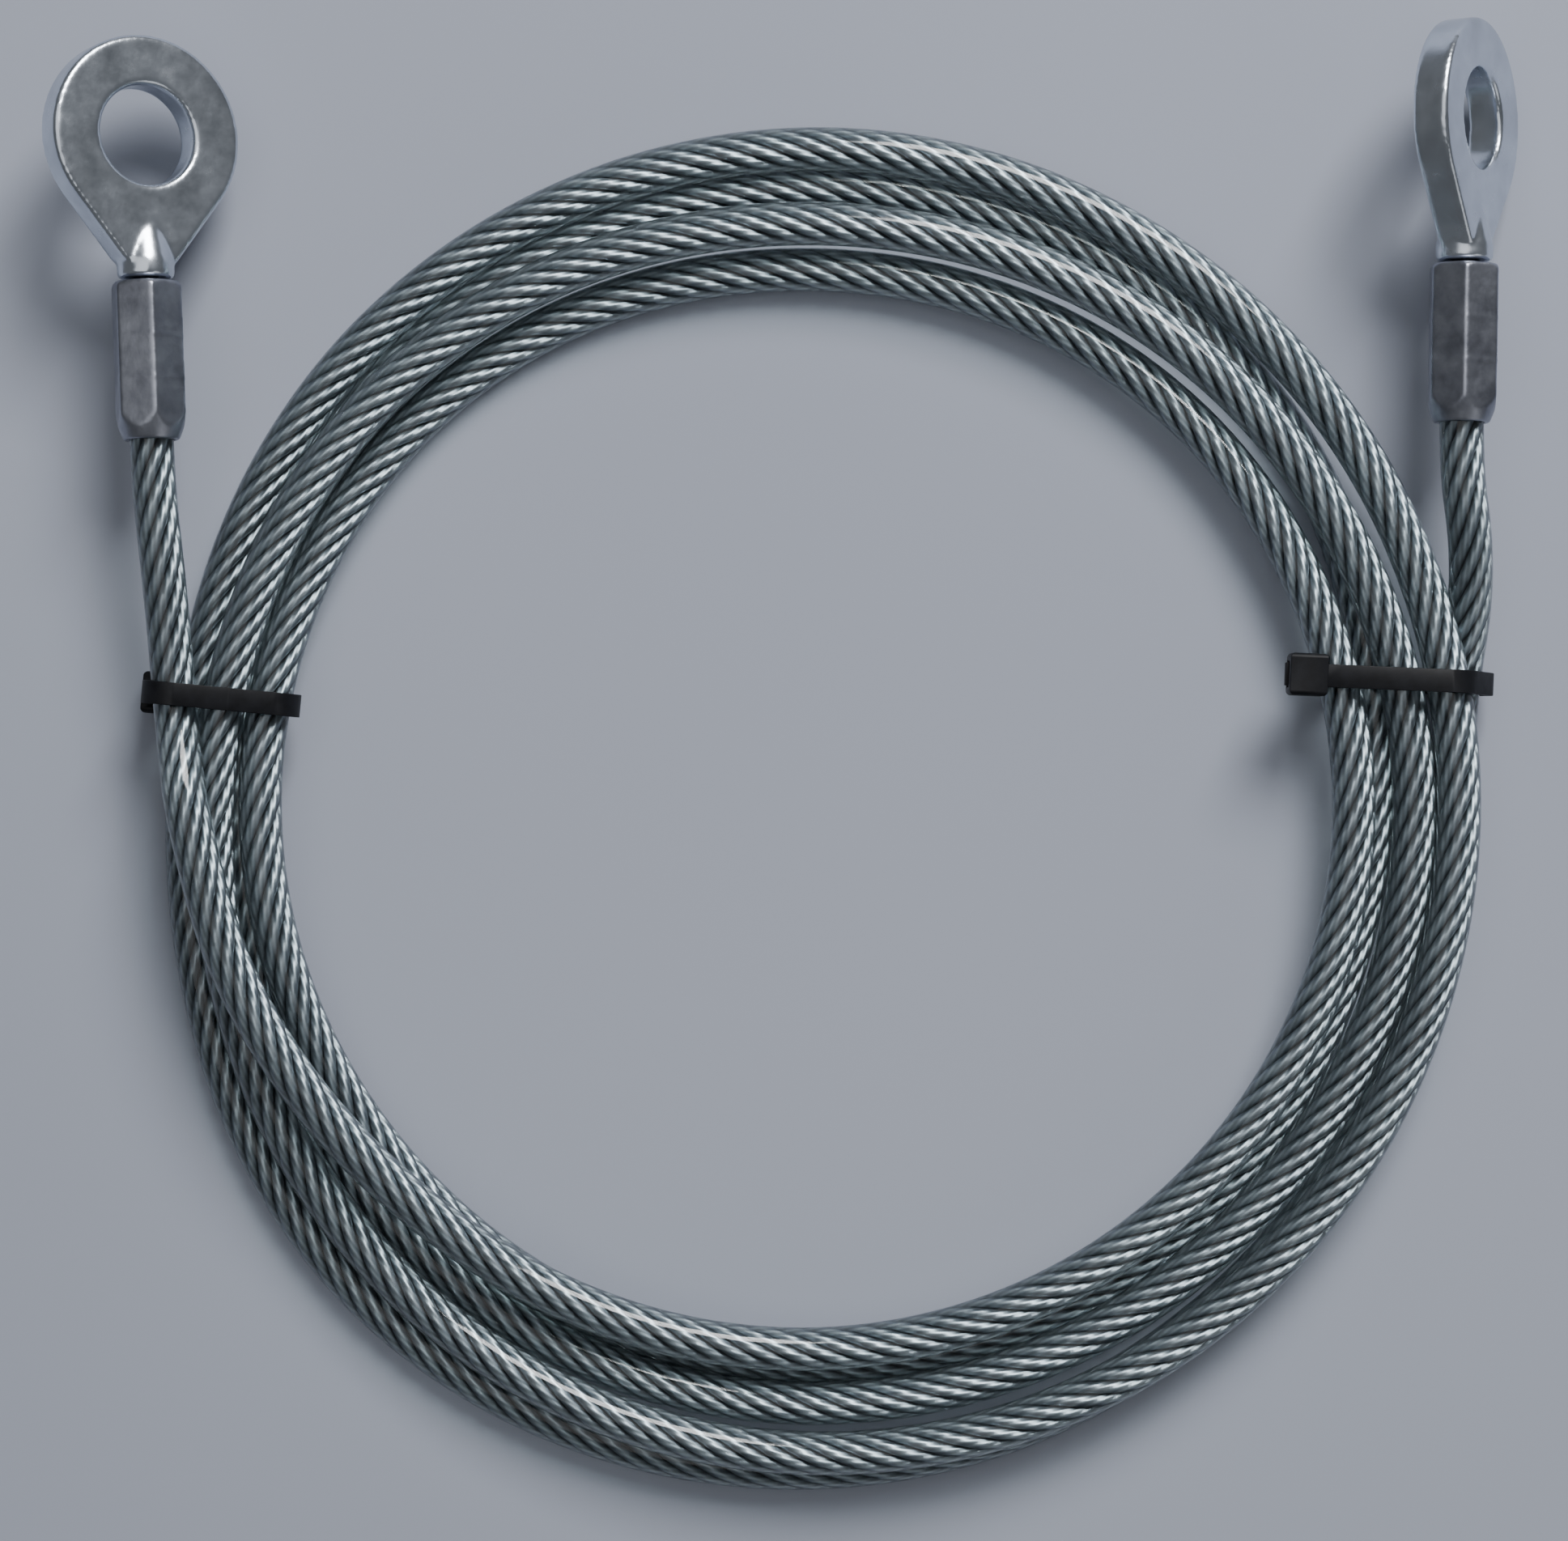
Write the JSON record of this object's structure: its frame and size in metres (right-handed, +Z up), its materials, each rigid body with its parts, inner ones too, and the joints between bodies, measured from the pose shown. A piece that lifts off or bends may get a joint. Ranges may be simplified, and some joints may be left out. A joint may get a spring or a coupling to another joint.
{
  "type": "cable lock",
  "caption": "Clear-coated wire rope security cable, coiled and tied, with a crimped sleeve and a swivelling ring eye at each end.",
  "frame": {"origin": "middle of the whole footprint, on the surface the coil lies on", "axes": "+Z up, square to the coil's plane; +Y the way both terminals point; +X from the left terminal to the right one"},
  "size_m": [0.161, 0.1614, 0.0212],
  "materials": {
    "coated_rope": "clear glossy coat over grey galvanised wire rope",
    "wire": "galvanised, drawn",
    "eye_plating": "bright zinc plating",
    "sleeve_metal": "dull, dark, crimped",
    "tie_nylon": "moulded, satin"
  },
  "bodies": {
    "cable": {"coil": "coated_rope", "left_lead": "coated_rope", "left_tie": "tie_nylon", "left_sleeve": "sleeve_metal", "left_core_strand": "wire", "left_outer_strand_1": "wire", "left_outer_strand_2": "wire", "left_outer_strand_3": "wire", "left_outer_strand_4": "wire", "left_outer_strand_5": "wire", "left_outer_strand_6": "wire", "right_lead": "coated_rope", "right_tie": "tie_nylon", "right_sleeve": "sleeve_metal", "right_core_strand": "wire", "right_outer_strand_1": "wire", "right_outer_strand_2": "wire", "right_outer_strand_3": "wire", "right_outer_strand_4": "wire", "right_outer_strand_5": "wire", "right_outer_strand_6": "wire"},
    "left_eye": {"left_eye": "eye_plating"},
    "right_eye": {"right_eye": "eye_plating"}
  },
  "joints": [
    {"name": "left_eye_swivel", "type": "hinge", "parent": "cable", "child": "left_eye", "pos_m": [-0.07064, 0.06792, 0.0112], "axis": [-0.0349, 0.9994, 0], "continuous": true},
    {"name": "right_eye_swivel", "type": "hinge", "parent": "cable", "child": "right_eye", "pos_m": [0.07329, 0.06983, 0.0112], "axis": [0.0175, 0.9998, 0], "continuous": true}
  ]
}
